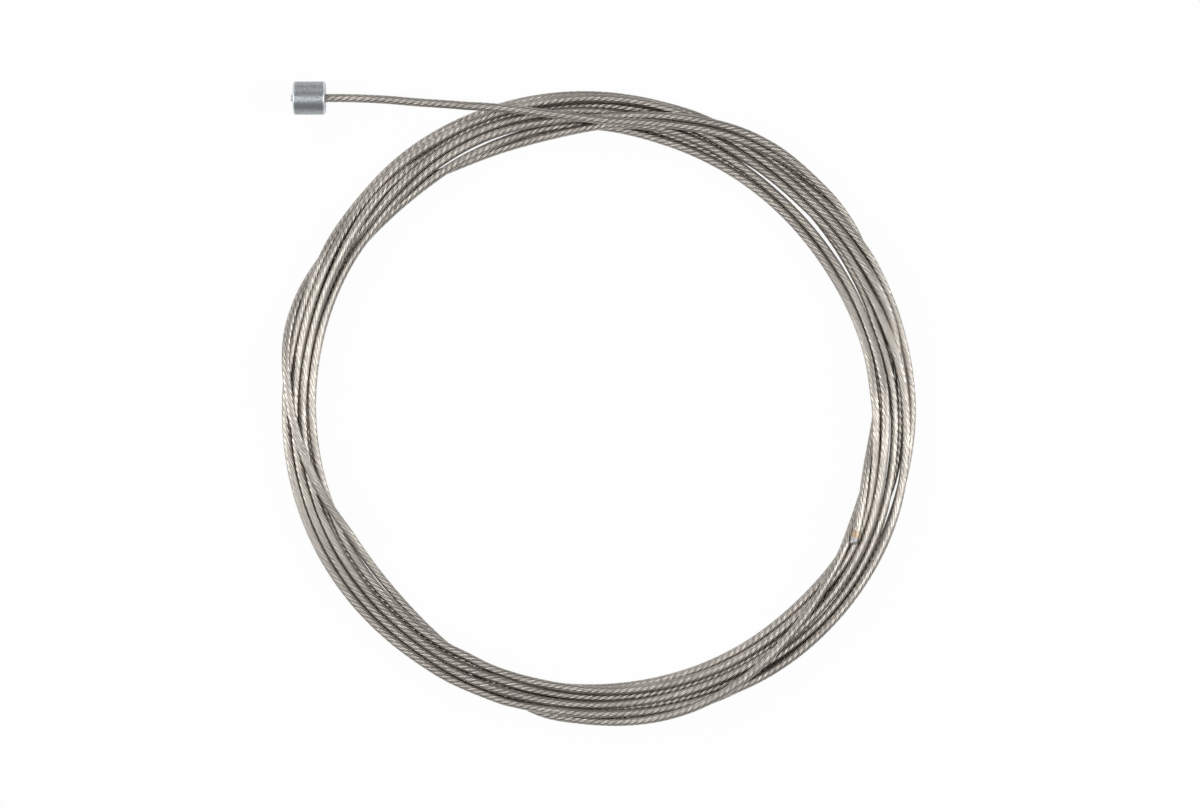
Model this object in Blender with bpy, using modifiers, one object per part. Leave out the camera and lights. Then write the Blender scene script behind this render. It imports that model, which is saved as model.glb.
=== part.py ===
"""Bicycle shift cable: a thin steel strand with a die-cast barrel head, wound into a flat coil.

Units are metres, +Z is up, and the cable lies flat on z = 0 as it comes out of its bag.
The head lies beside the coil at -X, +Y and its lead runs along +X over the top of the turns.
The strand is built plain: the free ends are round tubes, and the coil is one turned ring
whose section is the outline of its packed turns.
"""
import math

import bpy
from mathutils import Matrix, Vector

MM = 0.001

# The strand and the clearance between solids that touch on the real cable
STRAND_D = 1.1 * MM
SEAT_GAP = 0.3 * MM

# The head: a barrel cast round the end of the strand
HEAD_D = 4.35 * MM
HEAD_LENGTH = 4.2 * MM
HEAD_EDGE = 0.28 * MM
HEAD_DISH_D = 2.9 * MM
HEAD_DISH_DEPTH = 0.12 * MM
HEAD_NUB_D = 0.95 * MM
HEAD_NUB_PROUD = 0.38 * MM
HEAD_MOUTH_D = 1.7 * MM
HEAD_MOUTH_DEPTH = 0.3 * MM
HEAD_SHOULDER_X = -36.0 * MM
HEAD_AXIS_Y = 40.9 * MM

# The coil: two layers of turns, the upper ones in the grooves between the lower ones
LOWER_TURNS = 5
UPPER_TURNS = 3
FIRST_GROOVE = 1
COIL_INNER_R = 36.2 * MM
COIL_STEPS = 64
ARC_STEP_DEG = 31.0
GROOVE_DEG = 30.0

# The lead from the head to the coil: plan points from the coil's centre, and height, in mm
LEAD_ROUTE_MM = [
    (-29.1, 40.75, 2.2),
    (-22.9, 40.25, 2.4),
    (-16.6, 39.75, 2.7),
    (-10.5, 39.1, 2.93),
    (-5.0, 38.45, 3.0),
    (0.0, 37.75, 2.93),
    (3.25, 37.2, 2.62),
]
LEAD_END_DEGREES = (80.0, 75.0, 70.0)

# The tail, which lies in the coil's inner groove, and the fused tip at its end
TAIL_START_DEG = 18.0
TAIL_END_DEG = -24.0
TIP_LENGTH = 2.3 * MM
TIP_END_D = 0.86 * MM
TIP_ROUND = 0.18 * MM

# Mesh fineness
TUBE_STEP = 2.6 * MM
TUBE_BEVEL_RESOLUTION = 2
HEAD_SEGMENTS = 48
TIP_SEGMENTS = 16
MERGE = 0.00001


def strand_centres():
    """Radius and height of each turn's centre: the lower layer, then the upper one."""
    row_rise = STRAND_D * math.sqrt(3) / 2
    first_r = COIL_INNER_R + STRAND_D / 2
    lower = [Vector((first_r + i * STRAND_D, STRAND_D / 2)) for i in range(LOWER_TURNS)]
    upper = [
        Vector((lower[FIRST_GROOVE + j].x + STRAND_D / 2, STRAND_D / 2 + row_rise))
        for j in range(UPPER_TURNS)
    ]
    return lower, upper


def groove_seat():
    """Where a strand rests clear of the innermost lower turn and the innermost upper turn."""
    lower, upper = strand_centres()
    a, b = lower[0], upper[0]
    span = b - a
    reach = STRAND_D + SEAT_GAP
    rise = math.sqrt(reach ** 2 - (span.length / 2) ** 2)
    side = Vector((-span.y, span.x)).normalized()
    return (a + b) / 2 + side * rise


def coil_centre():
    """The coil's centre, placed so that the whole cable's box is centred on the origin."""
    coil_outer_r = COIL_INNER_R + LOWER_TURNS * STRAND_D
    head_top_y = HEAD_AXIS_Y + HEAD_D / 2
    head_end_x = HEAD_SHOULDER_X - HEAD_LENGTH - HEAD_NUB_PROUD
    x = -(coil_outer_r + min(-coil_outer_r, head_end_x)) / 2
    y = -(max(coil_outer_r, head_top_y) - coil_outer_r) / 2
    return Vector((x, y, 0))


def arc_points(centre, start_deg, end_deg):
    """Points on one turn's section, clockwise from start to end."""
    steps = max(1, round((start_deg - end_deg) / ARC_STEP_DEG))
    points = []
    for i in range(steps + 1):
        a = math.radians(start_deg + (end_deg - start_deg) * i / steps)
        points.append((centre.x + math.cos(a) * STRAND_D / 2, centre.y + math.sin(a) * STRAND_D / 2))
    return points


def coil_section():
    """The outline of the packed turns, clockwise: over the top, then back along the bottom."""
    lower, upper = strand_centres()
    after_upper = FIRST_GROOVE + UPPER_TURNS
    left, top_left, top_right = 180 + GROOVE_DEG, 90 + GROOVE_DEG, 90 - GROOVE_DEG
    points = []
    for i in range(FIRST_GROOVE + 1):
        end = top_right if i < FIRST_GROOVE else 90 - GROOVE_DEG / 2
        points += arc_points(lower[i], left if i == 0 else top_left, end)
    for j, centre in enumerate(upper):
        end = top_right if j < UPPER_TURNS - 1 else -GROOVE_DEG
        points += arc_points(centre, left if j == 0 else top_left, end)
    for i in range(after_upper, LOWER_TURNS):
        start = 90 + GROOVE_DEG / 2 if i == after_upper else top_left
        points += arc_points(lower[i], start, top_right if i < LOWER_TURNS - 1 else -GROOVE_DEG)
    for i in reversed(range(LOWER_TURNS)):
        start = -2 * GROOVE_DEG if i < LOWER_TURNS - 1 else -3 * GROOVE_DEG + 1
        end = -4 * GROOVE_DEG if i > 0 else -4.5 * GROOVE_DEG
        points += arc_points(lower[i], start, end)
    return points


def smooth_route(route, step):
    """Points along a smooth curve through the route, one about every step."""
    ends = [2 * route[0] - route[1]] + route + [2 * route[-1] - route[-2]]
    fine = []
    for p0, p1, p2, p3 in zip(ends, ends[1:], ends[2:], ends[3:]):
        pieces = 12
        for i in range(pieces):
            t = i / pieces
            fine.append(
                0.5 * (2 * p1 + (p2 - p0) * t + (2 * p0 - 5 * p1 + 4 * p2 - p3) * t ** 2
                       + (3 * p1 - p0 - 3 * p2 + p3) * t ** 3)
            )
    fine.append(route[-1])
    lengths = [0.0]
    for a, b in zip(fine, fine[1:]):
        lengths.append(lengths[-1] + (b - a).length)
    count = max(2, round(lengths[-1] / step))
    points, k = [], 0
    for i in range(count + 1):
        target = lengths[-1] * i / count
        while k < len(fine) - 2 and lengths[k + 1] < target:
            k += 1
        share = (target - lengths[k]) / (lengths[k + 1] - lengths[k])
        points.append(fine[k].lerp(fine[k + 1], share))
    return points


def groove_point(degrees):
    """A point of the inner groove's centre line, from the coil's centre."""
    seat = groove_seat()
    a = math.radians(degrees)
    return Vector((seat.x * math.cos(a), seat.x * math.sin(a), seat.y))


def metal(name, colour, roughness):
    """A bare metal in one colour."""
    material = bpy.data.materials.new(name)
    material.use_nodes = True
    shader = material.node_tree.nodes["Principled BSDF"]
    shader.inputs["Base Color"].default_value = (*colour, 1)
    shader.inputs["Metallic"].default_value = 1.0
    shader.inputs["Roughness"].default_value = roughness
    material.diffuse_color = (*colour, 1)
    return material


def place(name, data, collection, material, parent=None):
    """One named object in the cable's collection."""
    thing = bpy.data.objects.new(name, data)
    collection.objects.link(thing)
    data.materials.append(material)
    thing.parent = parent
    return thing


def turned(name, outline, segments, collection, material, closed=False):
    """A profile of (radius, height) points, top to bottom on its outer side, turned about Z."""
    mesh = bpy.data.meshes.new(name)
    edges = [(i, i + 1) for i in range(len(outline) - 1)]
    if closed:
        edges.append((len(outline) - 1, 0))
    mesh.from_pydata([(r, 0, z) for r, z in outline], edges, [])
    thing = place(name, mesh, collection, material)
    screw = thing.modifiers.new("Turn", "SCREW")
    screw.steps = segments
    screw.render_steps = segments
    screw.use_merge_vertices = True
    screw.merge_threshold = MERGE
    screw.use_smooth_shade = True
    return thing


def tube(name, points, collection, material, parent):
    """A round strand along the points, with flat closed ends."""
    curve = bpy.data.curves.new(name, "CURVE")
    curve.dimensions = "3D"
    curve.bevel_depth = STRAND_D / 2
    curve.bevel_resolution = TUBE_BEVEL_RESOLUTION
    curve.use_fill_caps = True
    spline = curve.splines.new("POLY")
    spline.points.add(len(points) - 1)
    for spot, point in zip(spline.points, points):
        spot.co = (*point, 1)
    return place(name, curve, collection, material, parent)


def rounded_edge(r, z, size, turn_from_deg, steps=3):
    """A quarter-round edge of a turned piece, whose corner is at radius r and height z."""
    centre_r = r - size
    centre_z = z - size if turn_from_deg == 90 else z + size
    points = []
    for i in range(steps + 1):
        a = math.radians(turn_from_deg - 90 * i / steps)
        points.append((centre_r + size * math.cos(a), centre_z + size * math.sin(a)))
    return points


def make_head(collection, material, coil):
    """The cast barrel. Its local +Z points away from the strand; z = 0 is the shoulder."""
    top = HEAD_LENGTH
    dish = top - HEAD_DISH_DEPTH
    nub_r, nub_top = HEAD_NUB_D / 2, top + HEAD_NUB_PROUD
    outline = [(0, nub_top)]
    outline += rounded_edge(nub_r, nub_top, HEAD_NUB_D / 4, 90)
    outline += [(nub_r, dish), (HEAD_DISH_D / 2 - HEAD_DISH_DEPTH, dish), (HEAD_DISH_D / 2, top)]
    outline += rounded_edge(HEAD_D / 2, top, HEAD_EDGE, 90)
    outline += rounded_edge(HEAD_D / 2, 0, HEAD_EDGE, 0)
    outline += [(HEAD_MOUTH_D / 2, 0), (STRAND_D / 2, HEAD_MOUTH_DEPTH), (0, HEAD_MOUTH_DEPTH)]
    head = turned("cable_head", outline, HEAD_SEGMENTS, collection, material)
    head.parent = coil
    head.rotation_euler = (0, math.radians(-90), 0)
    head.location = (HEAD_SHOULDER_X, HEAD_AXIS_Y, HEAD_D / 2)
    return head


def make_lead(collection, material, coil):
    """The lead: straight out of the head, over the outer turns and down into the inner groove."""
    start = Vector((HEAD_SHOULDER_X - HEAD_MOUTH_DEPTH + SEAT_GAP, HEAD_AXIS_Y, HEAD_D / 2))
    route = [start, start + Vector((2 * STRAND_D, 0, 0))]
    route += [Vector(p) * MM for p in LEAD_ROUTE_MM]
    route += [groove_point(degrees) for degrees in LEAD_END_DEGREES]
    return tube("cable_lead", smooth_route(route, TUBE_STEP), collection, material, coil)


def make_tail(collection, material, coil):
    """The end of the cable, lying in the inner groove."""
    arc = groove_seat().x * math.radians(TAIL_START_DEG - TAIL_END_DEG)
    count = round(arc / TUBE_STEP)
    points = []
    for i in range(count + 1):
        points.append(groove_point(TAIL_START_DEG + (TAIL_END_DEG - TAIL_START_DEG) * i / count))
    return tube("cable_tail", points, collection, material, coil)


def make_tip(collection, material, coil):
    """The fused tip: the strand's wires melted together, a little tapered, with a round end."""
    r, end_r = STRAND_D / 2, TIP_END_D / 2
    outline = [(0, TIP_LENGTH)]
    outline += rounded_edge(end_r, TIP_LENGTH, TIP_ROUND, 90)
    outline += [(r, TIP_LENGTH * 0.45), (r, 0), (0, 0)]
    tip = turned("cable_tip", outline, TIP_SEGMENTS, collection, material)
    end = groove_point(TAIL_END_DEG)
    along = (end - groove_point(TAIL_END_DEG + 1)).normalized()
    turn = Vector((0, 0, 1)).rotation_difference(along).to_matrix().to_4x4()
    tip.parent = coil
    tip.matrix_local = Matrix.Translation(end + along * SEAT_GAP) @ turn
    return tip


def main():
    for thing in list(bpy.data.objects):
        bpy.data.objects.remove(thing)
    collection = bpy.data.collections.new("shift_cable")
    bpy.context.scene.collection.children.link(collection)
    steel = metal("strand steel", (0.60, 0.57, 0.53), 0.35)
    zinc = metal("cast zinc", (0.52, 0.55, 0.57), 0.42)
    fused = metal("heat-tinted steel", (0.46, 0.33, 0.20), 0.45)

    coil = bpy.data.objects.new("coil_centre", None)
    collection.objects.link(coil)
    coil.location = coil_centre()

    ring = turned("cable_coil", coil_section(), COIL_STEPS, collection, steel, closed=True)
    ring.parent = coil
    make_head(collection, zinc, coil)
    make_lead(collection, steel, coil)
    make_tail(collection, steel, coil)
    make_tip(collection, fused, coil)


main()
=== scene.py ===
"""The coiled shift cable as the photograph shows it: strand, cast head and fused tip."""
import math

import bpy
import numpy as np
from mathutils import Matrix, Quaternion, Vector, noise


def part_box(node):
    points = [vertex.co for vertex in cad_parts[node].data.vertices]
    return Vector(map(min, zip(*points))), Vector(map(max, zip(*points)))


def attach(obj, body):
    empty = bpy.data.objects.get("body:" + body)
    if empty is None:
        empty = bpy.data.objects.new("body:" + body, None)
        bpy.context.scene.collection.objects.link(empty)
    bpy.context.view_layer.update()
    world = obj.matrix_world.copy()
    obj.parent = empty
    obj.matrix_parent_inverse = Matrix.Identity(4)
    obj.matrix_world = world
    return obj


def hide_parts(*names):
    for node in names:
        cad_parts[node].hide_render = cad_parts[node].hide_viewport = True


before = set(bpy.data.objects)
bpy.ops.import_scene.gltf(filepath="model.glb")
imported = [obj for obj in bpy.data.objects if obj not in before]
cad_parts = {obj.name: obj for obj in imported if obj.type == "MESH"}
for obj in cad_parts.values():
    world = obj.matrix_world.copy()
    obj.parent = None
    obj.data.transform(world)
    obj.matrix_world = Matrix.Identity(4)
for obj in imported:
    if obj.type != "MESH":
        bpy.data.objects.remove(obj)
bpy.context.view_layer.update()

MM = 0.001

# The photograph's width, scale and centre, and where the coil's centre lies in it
PHOTO_WIDTH_PX = 1200
PIXELS_PER_MM = 7.6
PHOTO_CENTRE_PX = (600.0, 404.5)
COIL_CENTRE_PX = (599.5, 409.5)

# The strand: twelve outer wires laid round a core. A wire takes three points of each ring.
STRAND_D = 1.1 * MM
OUTER_WIRES = 12
WIRE_STEPS = 3
GROOVE_DEPTH = 0.08 * MM
LAY_LENGTH = 11.4 * MM
RINGS_PER_LAY = 15
FINE_PER_POINT = 8

# The fused tip: the last rings of the strand, melted together and rounded over to a small flat
TIP_RINGS = 3
TIP_STEP = 0.06 * MM
TIP_FUSED = 1.3 * MM
TIP_ROUND = 0.42 * MM
TIP_END_R = 0.26 * MM
TIP_TINT_LENGTH_MM = 2.3

# The head: the solid's own sizes, how finely they are drawn, and the small lumps of a casting
HEAD_EDGE = 0.28 * MM
HEAD_DISH_D = 2.9 * MM
HEAD_DISH_DEPTH = 0.12 * MM
HEAD_NUB_D = 0.95 * MM
HEAD_NUB_PROUD = 0.38 * MM
HEAD_MOUTH_D = 1.7 * MM
HEAD_MOUTH_DEPTH = 0.3 * MM
HEAD_GRID = 0.09 * MM
HEAD_POLE_R = 0.02 * MM
ROUND_STEPS = 6
LUMP_SIZE = 0.24 * MM
LUMP_HEIGHT = 0.012 * MM
LUMP_OCTAVES = 3

# How far the strand reaches into the head's mouth
STRAND_IN_MOUTH = 0.95 * HEAD_MOUTH_DEPTH

# The lead from the head to the coil: plan points from the coil's centre, and height, in mm
LEAD_ROUTE_MM = [
    (-29.1, 40.75, 2.2),
    (-22.9, 40.25, 2.4),
    (-19.5, 40.02, 2.6),
]

# Where each turn lies: (angle in degrees, radius in mm, layer). Each turn runs clockwise from 113
# to -247 degrees. Layer 0 rests on the floor, 2 crosses over the others and -1 and -2 go under
# them. The first turn and the end are wrapped round the rest, which holds the coil together.
TURN_START = 113.0
TURNS = [
    [(113, 43.25, 2), (108, 41.44, 2), (105, 40.5, 2), (100, 39.22, 2), (95, 38.32, 2),
     (90, 37.87, 2), (85, 37.79, 2), (80, 38.16, 2), (75, 38.64, 2), (70, 39.21, 2),
     (65, 39.74, 1.8), (60, 40.26, 1.6), (55, 40.61, 1), (50, 40.76, 0), (45, 40.7, -1),
     (36, 40.26, -1), (30, 39.87, -1), (20, 39.4, -1), (10, 39, -1), (7, 38.92, -1), (4, 38.6, -1),
     (0, 37.95, -1), (-10, 36.71, -1), (-17, 36.32, 0), (-22, 36.45, 0.5), (-27, 36.82, 1.2),
     (-32, 37.17, 2), (-40, 37.76, 2), (-45, 38.22, 2), (-50, 38.75, 2), (-60, 39.96, 2),
     (-65, 40.49, 2), (-70, 40.92, 2), (-75, 41.18, 2), (-80, 41.32, 1.8), (-85, 41.18, 1.3),
     (-90, 40.89, 1.2), (-95, 40.57, 0.6), (-100, 40.07, -0.5), (-105, 39.54, -1),
     (-120, 37.63, -1), (-130, 36.49, -1), (-136, 36.28, -0.3), (-142, 36.22, 0.6),
     (-150, 36.51, 1.7), (-155, 37, 2), (-165, 38.36, 2), (-175, 39.8, 2), (-185, 41.22, 2),
     (-188, 41.35, 2), (-192, 41.8, 1.8), (-196, 42.15, 1.1), (-200, 42.2, 0.2),
     (-205, 41.84, -0.6), (-210, 41.38, -1), (-220, 40, -1), (-230, 38.36, -1),
     (-240, 36.97, -0.8)],
    [(113, 36.74, 0), (105, 36.62, 0.4), (100, 36.61, 0.8), (95, 36.95, 1), (90, 37.49, 1),
     (85, 37.76, 1), (80, 37.92, 1), (70, 37.7, 1), (65, 37.37, 1), (60, 36.95, 1), (55, 36.6, 1),
     (50, 36.48, 1), (40, 36.4, 1), (30, 36.5, 1), (25, 36.65, 1), (20, 36.84, 1), (0, 37.4, 1),
     (-10, 37.7, 1), (-20, 38.4, 1), (-30, 39.05, 1), (-45, 39.05, 1), (-60, 38.99, 1),
     (-75, 38.79, 1), (-90, 38.88, 1), (-105, 39.05, 1), (-120, 39.45, 1), (-135, 39.74, 1),
     (-145, 39.97, 1), (-155, 40.13, 1), (-170, 40.2, 1), (-180, 40.09, 1), (-195, 40.29, 1),
     (-215, 40.88, 1), (-225, 41.21, 1), (-240, 41.29, 1)],
    [(113, 41.22, 1), (105, 41.18, 1), (98, 40.96, 1), (90, 40.99, 1), (80, 40.72, 1),
     (70, 40.13, 1), (65, 39.71, 0.9), (60, 39.3, 1), (50, 39.12, 1), (40, 39.28, 1),
     (30, 39.55, 1), (20, 39.9, 1), (10, 39.72, 0.6), (7, 39.4, 0.3), (4, 39.4, 0), (0, 39.45, 0),
     (-8, 39.78, 0), (-14, 39.9, 0), (-19, 39.4, 0), (-25, 39.05, 0), (-50, 38.55, 0),
     (-70, 38.22, 0.4), (-82, 38.05, 1), (-90, 37.92, 1), (-105, 37.93, 1), (-115, 38.1, 1),
     (-125, 38.28, 1), (-135, 38.62, 1), (-145, 38.79, 1), (-155, 39.04, 1), (-170, 39.11, 1),
     (-180, 38.99, 1), (-195, 39.1, 1), (-205, 39.2, 1), (-210, 39.32, 1), (-215, 39.5, 1),
     (-220, 39.8, 0.7), (-225, 40.17, 0.4), (-235, 40.43, 0.2)],
    [(113, 40.66, 0.3), (105, 40.26, 0.4), (95, 39.87, 1), (85, 39.74, 1), (80, 39.54, 1),
     (75, 39.25, 0.5), (70, 38.72, 0), (65, 38.18, 0.6), (60, 38.08, 1), (50, 38.05, 1),
     (40, 38.16, 1), (30, 38.62, 1), (20, 38.96, 1), (10, 39.8, 1), (5, 39.98, 1), (0, 40.32, 1),
     (-10, 40.7, 1), (-15, 41.08, 1), (-20, 41.3, 1), (-30, 41.39, 1), (-45, 41.36, 1),
     (-60, 41.11, 1), (-70, 40.61, 1), (-80, 40.26, 1), (-90, 40.12, 1), (-100, 39.92, 1),
     (-110, 40.04, 1), (-120, 40.2, 1), (-130, 40.53, 1), (-135, 40.72, 1), (-145, 41.05, 1),
     (-155, 41.18, 1), (-170, 41.18, 1), (-180, 41.13, 1), (-190, 41.09, 0.5), (-200, 41.21, 0),
     (-210, 41.36, 0), (-220, 41.68, 0), (-230, 42.01, 0), (-235, 42.14, 0)],
    [(113, 41.97, 0), (100, 41.68, 0), (90, 41.32, 0), (80, 40.92, 0), (70, 40.46, 0),
     (60, 40.17, 0), (50, 40.07, 0.3), (40, 40.26, 1), (30, 40.62, 1), (20, 40.92, 1),
     (10, 40.98, 1), (0, 41.18, 1), (-10, 41, 0.2), (-15, 40.95, 0), (-20, 41.05, 0), (-30, 41, 0),
     (-40, 41.1, 0), (-60, 41.05, 0), (-70, 40.72, 0), (-80, 41.32, 0), (-85, 41.49, 0),
     (-90, 41.2, 0), (-95, 40.5, 0), (-100, 39.7, 0), (-107, 39.2, 0), (-115, 39.2, 0),
     (-125, 39.5, 0), (-140, 39.38, 0), (-165, 39.61, 0), (-190, 39.62, 0), (-200, 39.6, 0.3),
     (-215, 39.42, 1), (-225, 39.51, 1), (-235, 39.67, 1)],
    [(113, 39.92, 1), (105, 39.67, 0.9), (95, 39.21, 0.2), (90, 39.01, 0), (80, 38.62, 0),
     (70, 38.22, 0), (60, 38.08, 0), (55, 38.22, 0), (45, 38.2, 0), (40, 38.05, 0),
     (30, 37.92, 0.4), (20, 37.93, 1), (10, 38.32, 1), (0, 38.8, 1), (-10, 39.1, 1),
     (-15, 39.35, 1), (-20, 39.68, 1), (-25, 40, 1), (-30, 40.2, 1), (-40, 40.35, 1),
     (-50, 40.35, 1), (-65, 39.84, 0.5), (-80, 39.51, 0.3), (-90, 39.4, 0), (-94, 39.38, 0),
     (-99, 38.86, 0), (-105, 38.3, 0), (-110, 38.7, 0.6), (-115, 39.3, 1), (-120, 39.87, 0.8),
     (-130, 40.29, 0.5), (-140, 40.58, 0), (-165, 40.68, 0), (-190, 40.66, 0), (-205, 40.46, 0),
     (-215, 40.13, 0), (-225, 39.67, 0), (-235, 39.21, 0)],
    [(113, 38.99, 0), (100, 38.72, 0), (90, 38.46, 0), (80, 37.7, 0), (70, 36.84, 0),
     (55, 36.18, 0), (40, 35.92, 0), (25, 36.05, 0), (10, 36.71, 0), (0, 37.04, 0), (-20, 37.5, 0),
     (-30, 37.24, 0), (-45, 36.66, 0), (-60, 36.6, 0), (-80, 36.58, 0), (-90, 36.71, 0),
     (-100, 36.93, 0), (-120, 37.67, 0), (-140, 38.16, 0), (-165, 38.45, 0), (-190, 38.6, 0),
     (-200, 38.68, 0), (-208, 38.65, 0), (-214, 38.3, 0), (-220, 37.9, 0), (-225, 37.57, 0.4),
     (-235, 37.46, 1), (-240, 37.39, 1)],
    [(113, 37.37, 1), (100, 37.57, 0.8), (95, 37.63, 0.4), (90, 37.47, 0), (85, 37.11, 0),
     (75, 36.37, 0.4), (65, 35.87, 0.8), (50, 35.53, 1), (40, 35.34, 1), (30, 35.37, 1),
     (20, 35.72, 1), (0, 36.5, 1), (-10, 36.85, 1), (-20, 37.4, 1), (-26, 38.1, 0.8),
     (-30, 38.3, 0.6), (-35, 38.2, 0.4), (-45, 37.6, 0.3), (-55, 37.68, 1), (-65, 37.55, 1),
     (-75, 37.25, 1), (-90, 36.92, 1), (-110, 36.92, 1), (-120, 37.13, 1), (-135, 37.34, 1),
     (-155, 37.67, 1), (-180, 37.84, 1), (-205, 38.12, 1), (-225, 38.37, 1), (-240, 38.75, 1)],
    [(113, 38.88, 1), (105, 38.75, 0.8), (97, 38.49, 0.8), (90, 38.37, 1), (85, 38.49, 1.4),
     (80, 39.05, 2), (75, 39.74, 2), (70, 40.33, 2), (65, 40.83, 2), (60, 41.17, 2),
     (55, 41.26, 1.5), (50, 41.22, 1.2), (45, 41.16, 1), (41, 41.09, 0.6), (37, 40.92, -0.5),
     (33, 40.63, -2), (28, 40.07, -2), (20, 39.01, -2), (10, 37.63, -2), (3, 36.75, -1),
     (0, 36.45, -0.5), (-4, 36.16, 0.5), (-8, 36.08, 1.5), (-12, 36.16, 2), (-16, 36.39, 2),
     (-20, 36.79, 2), (-25, 37.37, 2), (-28.3, 37.8, 2)],
]

# How the turns settle on each other. They start apart, some layers up, and sink while each is
# drawn back to its own place in plan. Then they seat: no more sinking, only smoothing and room.
COLUMN_DEG = 1.5
DROP_LAYERS = 2.5
HOME_PULL = 0.3
SINK_STEP = 0.01 * MM
SINK_ROUNDS = 700
SINK_SMOOTHING = (0.25, 0.45)
SEAT_ROUNDS = 120
SEAT_SMOOTHING = (0.1, 0.15)
PUSHES_PER_ROUND = 3
LEAD_HEIGHT = 2.75 * MM

# The strand's tones: bright and dull stretches, darker streaks, and painted shade in the valleys
# between the wires, the melted ones too.
# Patches are scaled for each mm along the strand, and round it.
WIRE_BRIGHT = (0.65, 0.607, 0.556)
WIRE_DULL = (0.48, 0.45, 0.413)
WIRE_STREAK = (0.40, 0.372, 0.34)
# Painted shade for the valleys between the wires, and for those at the melted tip
GROOVE_SHADE = (0.28, 0.255, 0.22)
BURNT_GROOVE_SHADE = (0.20, 0.16, 0.12)
STRETCH_SCALE = (0.09, 0.35, 0.35)
STREAK_SCALE = (0.7, 2.2, 2.2)
WIRE_ROUGHNESS = (0.22, 0.42)

# The heat tint from the tip's end back along the strand, after a painted highlight in light steel
# at the very end: share of the tinted length, tone
TIP_TINTS_AND_END_HIGHLIGHT = [
    # The first two tones are light steel: a painted highlight on the cut end.
    (0.0, (0.66, 0.62, 0.57)),
    (0.09, (0.66, 0.62, 0.57)),
    (0.14, (0.29, 0.285, 0.295)),
    (0.36, (0.36, 0.345, 0.345)),
    (0.46, (0.36, 0.26, 0.17)),
    (0.62, (0.42, 0.32, 0.22)),
    (0.85, (0.58, 0.52, 0.45)),
    (1.0, (0.60, 0.562, 0.515)),
]

# The head's tones: dark and light clouds of the cast skin, specks, and worn edges lightened further
# by a painted highlight. Patches are scaled for each metre.
ZINC_DARK = (0.33, 0.352, 0.368)
ZINC_LIGHT = (0.47, 0.495, 0.512)
ZINC_SPECK = (0.24, 0.255, 0.27)
# The worn edges' light tone, which is also a painted highlight on the rounds
ZINC_WEAR_AND_HIGHLIGHT = (0.80, 0.82, 0.83)
CLOUD_SCALE = (3200, 3200, 3200)
GRAIN_SCALE = (9000, 9000, 9000)
ZINC_ROUGHNESS = (0.48, 0.36)
GRAIN_DEPTH = 0.02 * MM

# The floor, and how much of it the camera sees as plain white
FLOOR_HALF = 1.5
FLOOR_TONE = (0.86, 0.86, 0.86)
FLOOR_WHITE_SHARE = 0.95

# The soft boxes, turned a little about the object: name, place and size in metres, and watts
RIG_TURN_DEG = -2
SOFT_BOXES = [
    ("overhead strip", (0.0, -0.1, 0.8), (1.4, 0.3), 3.0),
    ("far box", (-0.42, 0.68, 0.45), (0.7, 0.4), 1.4),
    ("left box", (-0.8, 0.0, 0.45), (0.4, 0.5), 2.8),
    ("right box", (0.8, 0.0, 0.45), (0.4, 0.5), 2.7),
]
SURROUND_LEVEL = 0.3

# The camera, which frames the photograph's width
LENS_MM = 135.0
SENSOR_MM = 36.0


def coil_centre():
    """The coil's centre in the frame, from the ring that stands for it."""
    low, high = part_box("cable_coil")
    return Vector(((low[0] + high[0]) / 2, (low[1] + high[1]) / 2, 0))


def smooth_values(knots_x, knots_y, x):
    """Values at x of a smooth curve through the knots, by Hermite pieces with limited slopes."""
    kx, ky = np.asarray(knots_x, float), np.asarray(knots_y, float)
    step = np.diff(kx)
    rise = np.diff(ky) / step
    slope = np.empty_like(ky)
    slope[1:-1] = (rise[:-1] * step[1:] + rise[1:] * step[:-1]) / (step[:-1] + step[1:])
    slope[0], slope[-1] = rise[0], rise[-1]
    i = np.clip(np.searchsorted(kx, x, side="right") - 1, 0, len(step) - 1)
    h = step[i]
    t = (x - kx[i]) / h
    return (ky[i] * (1 + 2 * t) * (1 - t) ** 2 + slope[i] * h * t * (1 - t) ** 2
            + ky[i + 1] * t ** 2 * (3 - 2 * t) + slope[i + 1] * h * t ** 2 * (t - 1))


def turn_knots():
    """All knots of the winding in one list: wound angle, radius and starting height."""
    knots = []
    for turn, places in enumerate(TURNS):
        for angle, radius, layer in places:
            wound = 360 * turn + TURN_START - angle
            knots.append((wound, radius * MM, (layer + DROP_LAYERS) * STRAND_D))
    return np.array(knots)


def push_apart(r, z, per_turn):
    """Move turns that are closer than a diameter apart, half each, and keep all off the floor."""
    for lag in range(per_turn, len(r), per_turn):
        a, b = slice(0, len(r) - lag), slice(lag, len(r))
        dr, dz = r[b] - r[a], z[b] - z[a]
        gap = np.hypot(dr, dz) + 1e-9
        push = np.clip(STRAND_D - gap, 0, None) / gap / 2
        r[a] -= push * dr
        r[b] += push * dr
        z[a] -= push * dz
        z[b] += push * dz
    np.maximum(z, STRAND_D / 2, out=z)
    z[0] = LEAD_HEIGHT


def settle(r, z, per_turn):
    """Let the turns sink until they rest on the floor and on each other, a diameter apart."""
    home = r.copy()
    for settle_round in range(SINK_ROUNDS + SEAT_ROUNDS):
        sinking = settle_round < SINK_ROUNDS
        if sinking:
            r += HOME_PULL * (home - r)
            z -= SINK_STEP
        for line, weight in zip((r, z), SINK_SMOOTHING if sinking else SEAT_SMOOTHING):
            line[1:-1] += weight * ((line[:-2] + line[2:]) / 2 - line[1:-1])
        for repeat in range(PUSHES_PER_ROUND):
            push_apart(r, z, per_turn)
    return r, z


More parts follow.
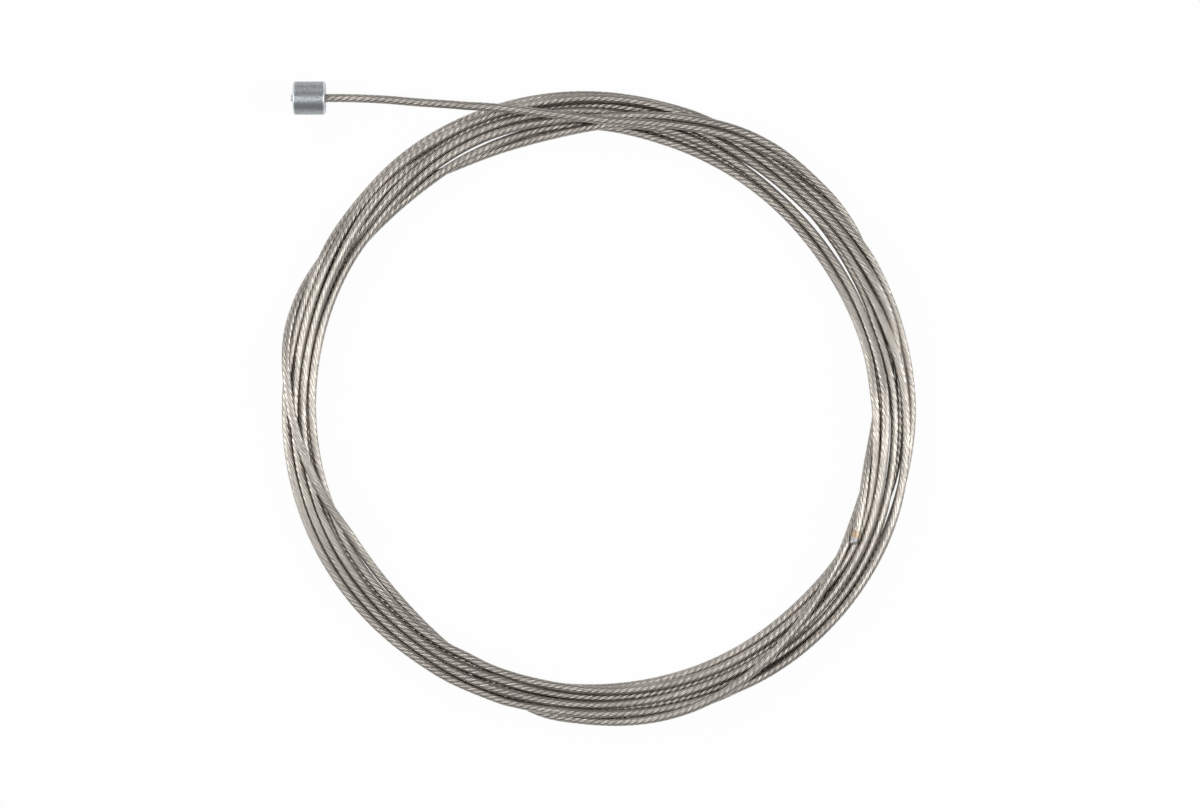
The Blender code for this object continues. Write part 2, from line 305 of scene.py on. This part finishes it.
def coil_line():
    """Points of the coiled part of the cable, from the lead's crossing to the tip."""
    knots = turn_knots()
    per_turn = round(360 / COLUMN_DEG)
    wound = np.arange(0, knots[-1, 0] + 0.01, COLUMN_DEG)
    r = smooth_values(knots[:, 0], knots[:, 1], wound)
    z = smooth_values(knots[:, 0], knots[:, 2], wound)
    r, z = settle(r, z, per_turn)
    a = np.radians(TURN_START - wound)
    return np.stack([r * np.cos(a), r * np.sin(a), z], axis=1)


def smooth_line(points, step):
    """Evenly spaced points along a smooth curve through the points."""
    p = np.asarray(points, float)
    along = np.concatenate([[0], np.cumsum(np.linalg.norm(np.diff(p, axis=0), axis=1))])
    fine_along = np.linspace(0, along[-1], len(p) * FINE_PER_POINT)
    fine = np.stack([smooth_values(along, p[:, i], fine_along) for i in range(3)], axis=1)
    true = np.concatenate([[0], np.cumsum(np.linalg.norm(np.diff(fine, axis=0), axis=1))])
    count = round(true[-1] / step)
    even = np.linspace(0, true[-1], count + 1)
    return np.stack([np.interp(even, true, fine[:, i]) for i in range(3)], axis=1), true[-1]


def strand_points(exit_point):
    """The places that the whole cable runs through, from the head to the tip."""
    centre = np.array(coil_centre())
    exit_point = np.array(exit_point)
    lead = [exit_point, exit_point + np.array([2 * STRAND_D, 0, 0])]
    lead += [centre + np.array(p) * MM for p in LEAD_ROUTE_MM]
    return lead + list(centre + coil_line())


def moving_frames(line, first_side):
    """A side vector for each point, carried along the line without twist."""
    ahead = np.gradient(line, axis=0)
    ahead /= np.linalg.norm(ahead, axis=1)[:, None]
    side = np.empty_like(ahead)
    v = np.array(first_side)
    for i, t in enumerate(ahead):
        v = v - np.dot(v, t) * t
        v /= np.linalg.norm(v)
        side[i] = v
    return side, np.cross(ahead, side)


def add_tube(name, rings, **attributes):
    """A smooth tube through rings of points, closed at both ends, with values at its points."""
    count, per_ring = rings.shape[:2]
    start = np.arange(count - 1)[:, None] * per_ring
    i = np.arange(per_ring)[None, :]
    j = (i + 1) % per_ring
    quads = np.stack([start + i, start + j, start + per_ring + j, start + per_ring + i], axis=-1)
    first_lid = [count * per_ring + k for k in reversed(range(per_ring))]
    last_lid = [(count + 1) * per_ring + k for k in range(per_ring)]

    def with_lids(values):
        """The lids get points of their own, so that the tube's shading stops at its edge."""
        return np.concatenate([values, values[:1], values[-1:]])

    mesh = bpy.data.meshes.new(name)
    mesh.from_pydata(with_lids(rings).reshape(-1, 3).tolist(), [],
                     quads.reshape(-1, 4).tolist() + [first_lid, last_lid])
    mesh.shade_smooth()
    for key, values in attributes.items():
        kind, field = ("FLOAT", "value") if values.ndim == 2 else ("FLOAT_VECTOR", "vector")
        attribute = mesh.attributes.new(key, kind, "POINT")
        attribute.data.foreach_set(field, with_lids(values).ravel().astype(np.float32))
    piece = bpy.data.objects.new(name, mesh)
    bpy.context.scene.collection.objects.link(piece)
    return piece


def strand_mesh(name, line, along, whole, first_side, tip=False):
    """A length of strand: the outer wires' outline, turned with their lay. A tip fuses them.

    Its points keep how much of a groove they are, their place along and round the strand, and
    their distance from the cable's end in mm, for the materials."""
    side, up = moving_frames(line, first_side)
    per_ring = OUTER_WIRES * WIRE_STEPS
    around = np.arange(per_ring) / per_ring * 2 * math.pi
    groove = np.where(np.arange(per_ring) % WIRE_STEPS == 0, 1.0, 0.0)
    from_end = whole - along
    shown, outer = np.ones_like(along), np.full_like(along, STRAND_D / 2)
    if tip:
        shown = np.clip((from_end - TIP_FUSED) / (from_end[0] - TIP_FUSED), 0, 1)
        inward = np.clip(1 - from_end / TIP_ROUND, 0, 1)
        outer = TIP_END_R + (outer - TIP_END_R) * np.sqrt(1 - inward ** 2)
    radius = outer[:, None] - GROOVE_DEPTH * shown[:, None] * groove[None, :]
    a = around[None, :] - (along / LAY_LENGTH * 2 * math.pi)[:, None]
    points = (line[:, None, :] + radius[..., None]
              * (np.cos(a)[..., None] * side[:, None, :] + np.sin(a)[..., None] * up[:, None, :]))
    place = np.empty((len(line), per_ring, 3))
    place[..., 0] = (along / MM)[:, None]
    place[..., 1], place[..., 2] = np.cos(around), np.sin(around)
    piece = add_tube(name, points, groove=shown[:, None] * groove, place=place,
                     from_end=np.repeat((from_end / MM)[:, None], per_ring, axis=1))
    return piece, side


def rounded(x, r, edge, first_deg):
    """A quarter round about (x, r) in a profile, turning by 90 degrees from the first angle."""
    turns = [math.radians(first_deg - 90 * step / ROUND_STEPS) for step in range(ROUND_STEPS + 1)]
    return [(x + edge * math.cos(t), r + edge * math.sin(t)) for t in turns]


def head_profile(radius, length):
    """The barrel's half section, from the mouth's middle over the outside to the nub's middle."""
    dish, nub_top = length - HEAD_DISH_DEPTH, length + HEAD_NUB_PROUD
    nub_r, nub_edge = HEAD_NUB_D / 2, HEAD_NUB_D / 4
    corners = [(HEAD_MOUTH_DEPTH, HEAD_POLE_R), (HEAD_MOUTH_DEPTH, STRAND_D / 2)]
    corners += [(0, HEAD_MOUTH_D / 2)]
    corners += rounded(HEAD_EDGE, radius - HEAD_EDGE, HEAD_EDGE, 180)
    corners += rounded(length - HEAD_EDGE, radius - HEAD_EDGE, HEAD_EDGE, 90)
    corners += [(length, HEAD_DISH_D / 2), (dish, HEAD_DISH_D / 2 - HEAD_DISH_DEPTH), (dish, nub_r)]
    corners += rounded(nub_top - nub_edge, nub_r - nub_edge, nub_edge, 90)
    corners += [(nub_top, HEAD_POLE_R)]
    fine = [np.array(corners[0])]
    for end in corners[1:]:
        start, end = fine[-1], np.array(end)
        steps = max(1, round(np.linalg.norm(end - start) / HEAD_GRID))
        fine += [start + (end - start) * step / steps for step in range(1, steps + 1)]
    return np.array(fine)


def head_mesh(name, low, high):
    """The barrel: its profile turned round the strand's axis, with the lumps of a casting. Its
    points keep how much of a rounded edge they are."""
    radius = (high[2] - low[2]) / 2
    profile = head_profile(radius, high[0] - low[0] - HEAD_NUB_PROUD)
    slope = np.gradient(profile, axis=0)
    slope /= np.linalg.norm(slope, axis=1)[:, None]
    outward = np.stack([-slope[:, 1], slope[:, 0]], axis=1)
    per_ring = round(2 * math.pi * radius / HEAD_GRID)
    around = np.arange(per_ring) / per_ring * 2 * math.pi
    axis_y, axis_z = (low[1] + high[1]) / 2, (low[2] + high[2]) / 2
    points = np.empty((len(profile), per_ring, 3))
    for ring, ((x, r), (nx, nr)) in enumerate(zip(profile, outward)):
        for k, a in enumerate(around):
            spot = Vector((x, r * math.cos(a), r * math.sin(a)))
            lump = LUMP_HEIGHT * noise.fractal(spot / LUMP_SIZE, 1.0, 2.0, LUMP_OCTAVES)
            out = r + lump * nr
            points[ring, k] = (high[0] - x - lump * nx, axis_y + out * math.cos(a),
                               axis_z + out * math.sin(a))
    # How much of a round each point is: there the worn edges are lightened and a highlight is
    # painted.
    edge_wear_and_highlight = np.clip(np.minimum(np.abs(outward[:, 0]), np.abs(outward[:, 1])) * 2, 0, 1)
    return add_tube(name, points, edge=np.repeat(edge_wear_and_highlight[:, None], per_ring, axis=1))


def add_node(tree, kind, **values):
    """A shader node with its sockets set by name."""
    node = tree.nodes.new(kind)
    for key, value in values.items():
        node.inputs[key.replace("_", " ")].default_value = value
    return node


def add_mix(tree, factor, first, second):
    """A colour between two colours or outputs, by a factor output."""
    mix = tree.nodes.new("ShaderNodeMix")
    mix.data_type = "RGBA"
    tree.links.new(factor, mix.inputs[0])
    for socket, value in ((mix.inputs[6], first), (mix.inputs[7], second)):
        if isinstance(value, tuple):
            socket.default_value = (*value, 1)
        else:
            tree.links.new(value, socket)
    return mix.outputs[2]


def add_patches(tree, place, scale, spread):
    """Noise over a place, drawn out by a scale for each axis, as a share from 0 to 1. The spread
    is how far from its middle the noise reaches 0 or 1."""
    mapping = tree.nodes.new("ShaderNodeMapping")
    mapping.inputs["Scale"].default_value = scale
    tree.links.new(place, mapping.inputs["Vector"])
    patches = add_node(tree, "ShaderNodeTexNoise", Scale=1.0, Detail=2.0)
    tree.links.new(mapping.outputs[0], patches.inputs["Vector"])
    share = add_node(tree, "ShaderNodeMapRange", From_Min=0.5 - spread, From_Max=0.5 + spread)
    tree.links.new(patches.outputs["Fac"], share.inputs["Value"])
    return share.outputs[0]


def add_values(tree, name, output="Fac"):
    """The values that a mesh keeps at its points."""
    values = tree.nodes.new("ShaderNodeAttribute")
    values.attribute_name = name
    return values.outputs[output]


def add_range(tree, value, low, high):
    """A share from 0 to 1 turned into a value between two others."""
    scaled = add_node(tree, "ShaderNodeMapRange", To_Min=low, To_Max=high)
    tree.links.new(value, scaled.inputs["Value"])
    return scaled.outputs[0]


def metal(name):
    """A new metal material, its node tree and its shader."""
    material = bpy.data.materials.new(name)
    material.use_nodes = True
    shader = material.node_tree.nodes["Principled BSDF"]
    shader.inputs["Metallic"].default_value = 1.0
    return material, material.node_tree, shader


def steel_tone(tree, place, streaks):
    """Dull and bright stretches of steel. The streaks go in twice, so that few show strongly."""
    stretches = add_patches(tree, place, STRETCH_SCALE, 0.12)
    plain = add_mix(tree, stretches, WIRE_BRIGHT, WIRE_DULL)
    return add_mix(tree, streaks, plain, add_mix(tree, streaks, plain, WIRE_STREAK))


def tip_tint_and_highlight(tree):
    """A painted highlight in light steel at the very end, then the grey and the bronze heat tint,
    by the distance from the tip's end.
    """
    ramp = tree.nodes.new("ShaderNodeValToRGB")
    while len(ramp.color_ramp.elements) < len(TIP_TINTS_AND_END_HIGHLIGHT):
        ramp.color_ramp.elements.new(0.5)
    for element, (share, tone) in zip(ramp.color_ramp.elements, TIP_TINTS_AND_END_HIGHLIGHT):
        element.position, element.color = share, (*tone, 1)
    reach = add_node(tree, "ShaderNodeMapRange", From_Max=TIP_TINT_LENGTH_MM)
    tree.links.new(add_values(tree, "from_end"), reach.inputs["Value"])
    tree.links.new(reach.outputs[0], ramp.inputs["Fac"])
    return ramp.outputs["Color"]


def strand_material(name, burnt):
    """Drawn wires with painted shade in the valleys between them, and duller in streaks. Burnt ones
    have the heat tint.
    """
    material, tree, shader = metal(name)
    place = add_values(tree, "place", "Vector")
    streaks = add_patches(tree, place, STREAK_SCALE, 0.2)
    wires = tip_tint_and_highlight(tree) if burnt else steel_tone(tree, place, streaks)
    # The valleys between the wires get painted shade.
    groove_shade = BURNT_GROOVE_SHADE if burnt else GROOVE_SHADE
    colour = add_mix(tree, add_values(tree, "groove"), wires, groove_shade)
    tree.links.new(colour, shader.inputs["Base Color"])
    tree.links.new(add_range(tree, streaks, *WIRE_ROUGHNESS), shader.inputs["Roughness"])
    return material


def zinc_material():
    """Die-cast zinc: mottled cool grey, dull, brighter on its rounded edges, which are worn and
    carry a painted highlight.
    """
    material, tree, shader = metal("die-cast zinc")
    place = tree.nodes.new("ShaderNodeTexCoord").outputs["Object"]
    clouds = add_patches(tree, place, CLOUD_SCALE, 0.2)
    grain = add_patches(tree, place, GRAIN_SCALE, 0.25)
    skin = add_mix(tree, clouds, ZINC_DARK, ZINC_LIGHT)
    speckled = add_mix(tree, add_range(tree, grain, 0.0, 0.3), skin, ZINC_SPECK)
    # Worn edges lightened, together with a painted highlight on the rounds.
    wear_and_highlight = add_range(tree, add_values(tree, "edge"), 0.0, 0.8)
    colour = add_mix(tree, wear_and_highlight, speckled, ZINC_WEAR_AND_HIGHLIGHT)
    tree.links.new(colour, shader.inputs["Base Color"])
    tree.links.new(add_range(tree, clouds, *ZINC_ROUGHNESS), shader.inputs["Roughness"])
    bump = add_node(tree, "ShaderNodeBump", Strength=0.35, Distance=GRAIN_DEPTH)
    tree.links.new(grain, bump.inputs["Height"])
    tree.links.new(bump.outputs[0], shader.inputs["Normal"])
    return material


def set_material(thing, material):
    """One material on every slot of the piece."""
    thing.data.materials.clear()
    thing.data.materials.append(material)


def make_floor():
    """A pale floor that the camera sees as nearly white, with the object's shadow kept."""
    mesh = bpy.data.meshes.new("floor")
    corners = [(x * FLOOR_HALF, y * FLOOR_HALF, 0) for x, y in ((-1, -1), (1, -1), (1, 1), (-1, 1))]
    mesh.from_pydata(corners, [], [(0, 1, 2, 3)])
    floor = bpy.data.objects.new("floor", mesh)
    bpy.context.scene.collection.objects.link(floor)
    material = bpy.data.materials.new("pale floor")
    material.use_nodes = True
    tree = material.node_tree
    tree.nodes.clear()
    output = tree.nodes.new("ShaderNodeOutputMaterial")
    diffuse = add_node(tree, "ShaderNodeBsdfDiffuse", Color=(*FLOOR_TONE, 1))
    glow = add_node(tree, "ShaderNodeEmission", Color=(1, 1, 1, 1), Strength=1.0)
    rays = tree.nodes.new("ShaderNodeLightPath")
    seen = tree.nodes.new("ShaderNodeMath")
    seen.operation = "MAXIMUM"
    share = tree.nodes.new("ShaderNodeMath")
    share.operation = "MULTIPLY"
    share.inputs[1].default_value = FLOOR_WHITE_SHARE
    mix = tree.nodes.new("ShaderNodeMixShader")
    tree.links.new(rays.outputs["Is Camera Ray"], seen.inputs[0])
    tree.links.new(rays.outputs["Is Glossy Ray"], seen.inputs[1])
    tree.links.new(seen.outputs[0], share.inputs[0])
    tree.links.new(share.outputs[0], mix.inputs[0])
    tree.links.new(diffuse.outputs[0], mix.inputs[1])
    tree.links.new(glow.outputs[0], mix.inputs[2])
    tree.links.new(mix.outputs[0], output.inputs["Surface"])
    floor.data.materials.append(material)


def make_lights():
    """Soft boxes round the object, all aimed at it, and a plain grey surround."""
    turn = Quaternion((0, 0, 1), math.radians(RIG_TURN_DEG))
    for name, place, size, power in SOFT_BOXES:
        light = bpy.data.lights.new(name, "AREA")
        light.shape = "RECTANGLE"
        light.size, light.size_y = size
        light.energy = power
        box = bpy.data.objects.new(name, light)
        bpy.context.scene.collection.objects.link(box)
        box.rotation_euler = (turn @ (-Vector(place)).to_track_quat("-Z", "Y")).to_euler()
        box.location = turn @ Vector(place)
    world = bpy.data.worlds.new("studio")
    bpy.context.scene.world = world
    world.use_nodes = True
    background = world.node_tree.nodes["Background"]
    background.inputs["Color"].default_value = (1, 1, 1, 1)
    background.inputs["Strength"].default_value = SURROUND_LEVEL


def make_camera():
    """Straight above, framed as the photograph."""
    data = bpy.data.cameras.new("camera")
    data.lens, data.sensor_width = LENS_MM, SENSOR_MM
    camera = bpy.data.objects.new("camera", data)
    bpy.context.scene.collection.objects.link(camera)
    centre = coil_centre()
    shift_x = (PHOTO_CENTRE_PX[0] - COIL_CENTRE_PX[0]) / PIXELS_PER_MM * MM
    shift_y = (COIL_CENTRE_PX[1] - PHOTO_CENTRE_PX[1]) / PIXELS_PER_MM * MM
    distance = PHOTO_WIDTH_PX / PIXELS_PER_MM * MM * LENS_MM / SENSOR_MM
    camera.location = (centre.x + shift_x, centre.y + shift_y, distance + STRAND_D)
    bpy.context.scene.camera = camera


make_camera()
make_lights()
make_floor()

# The head
head_low, head_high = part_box("cable_head")
head = head_mesh("barrel_head", head_low, head_high)
set_material(head, zinc_material())
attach(head, "root")
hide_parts("cable_head")

# The strand, from inside the head's mouth to where its wires are melted
exit_point = (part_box("cable_lead")[0][0], (head_low[1] + head_high[1]) / 2,
              (head_low[2] + head_high[2]) / 2)
points = strand_points(exit_point)
line, length = smooth_line(points, LAY_LENGTH / RINGS_PER_LAY)
along = np.linspace(0, length, len(line))
line, along = line[:-TIP_RINGS], along[:-TIP_RINGS]
in_mouth = line[:1] - np.array([STRAND_IN_MOUTH, 0, 0])
strand, sides = strand_mesh("strand", np.vstack([in_mouth, line]),
                            np.append(-STRAND_IN_MOUTH, along), length, (0, -1, 0))
set_material(strand, strand_material("drawn steel wire", burnt=False))
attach(strand, "root")
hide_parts("cable_lead", "cable_coil", "cable_tail")

# The fused tip, drawn finer along the rest of the same line
fine, length = smooth_line(points, TIP_STEP)
fine_along = np.linspace(0, length, len(fine))
kept = fine_along > along[-1]
tip_line, tip_along = np.vstack([line[-1:], fine[kept]]), np.append(along[-1], fine_along[kept])
tip, _ = strand_mesh("fused_tip", tip_line, tip_along, length, sides[-1], tip=True)
set_material(tip, strand_material("melted wire end", burnt=True))
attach(tip, "root")
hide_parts("cable_tip")
print("cable length", round(length, 4))

bpy.context.scene.view_settings.view_transform = "Standard"
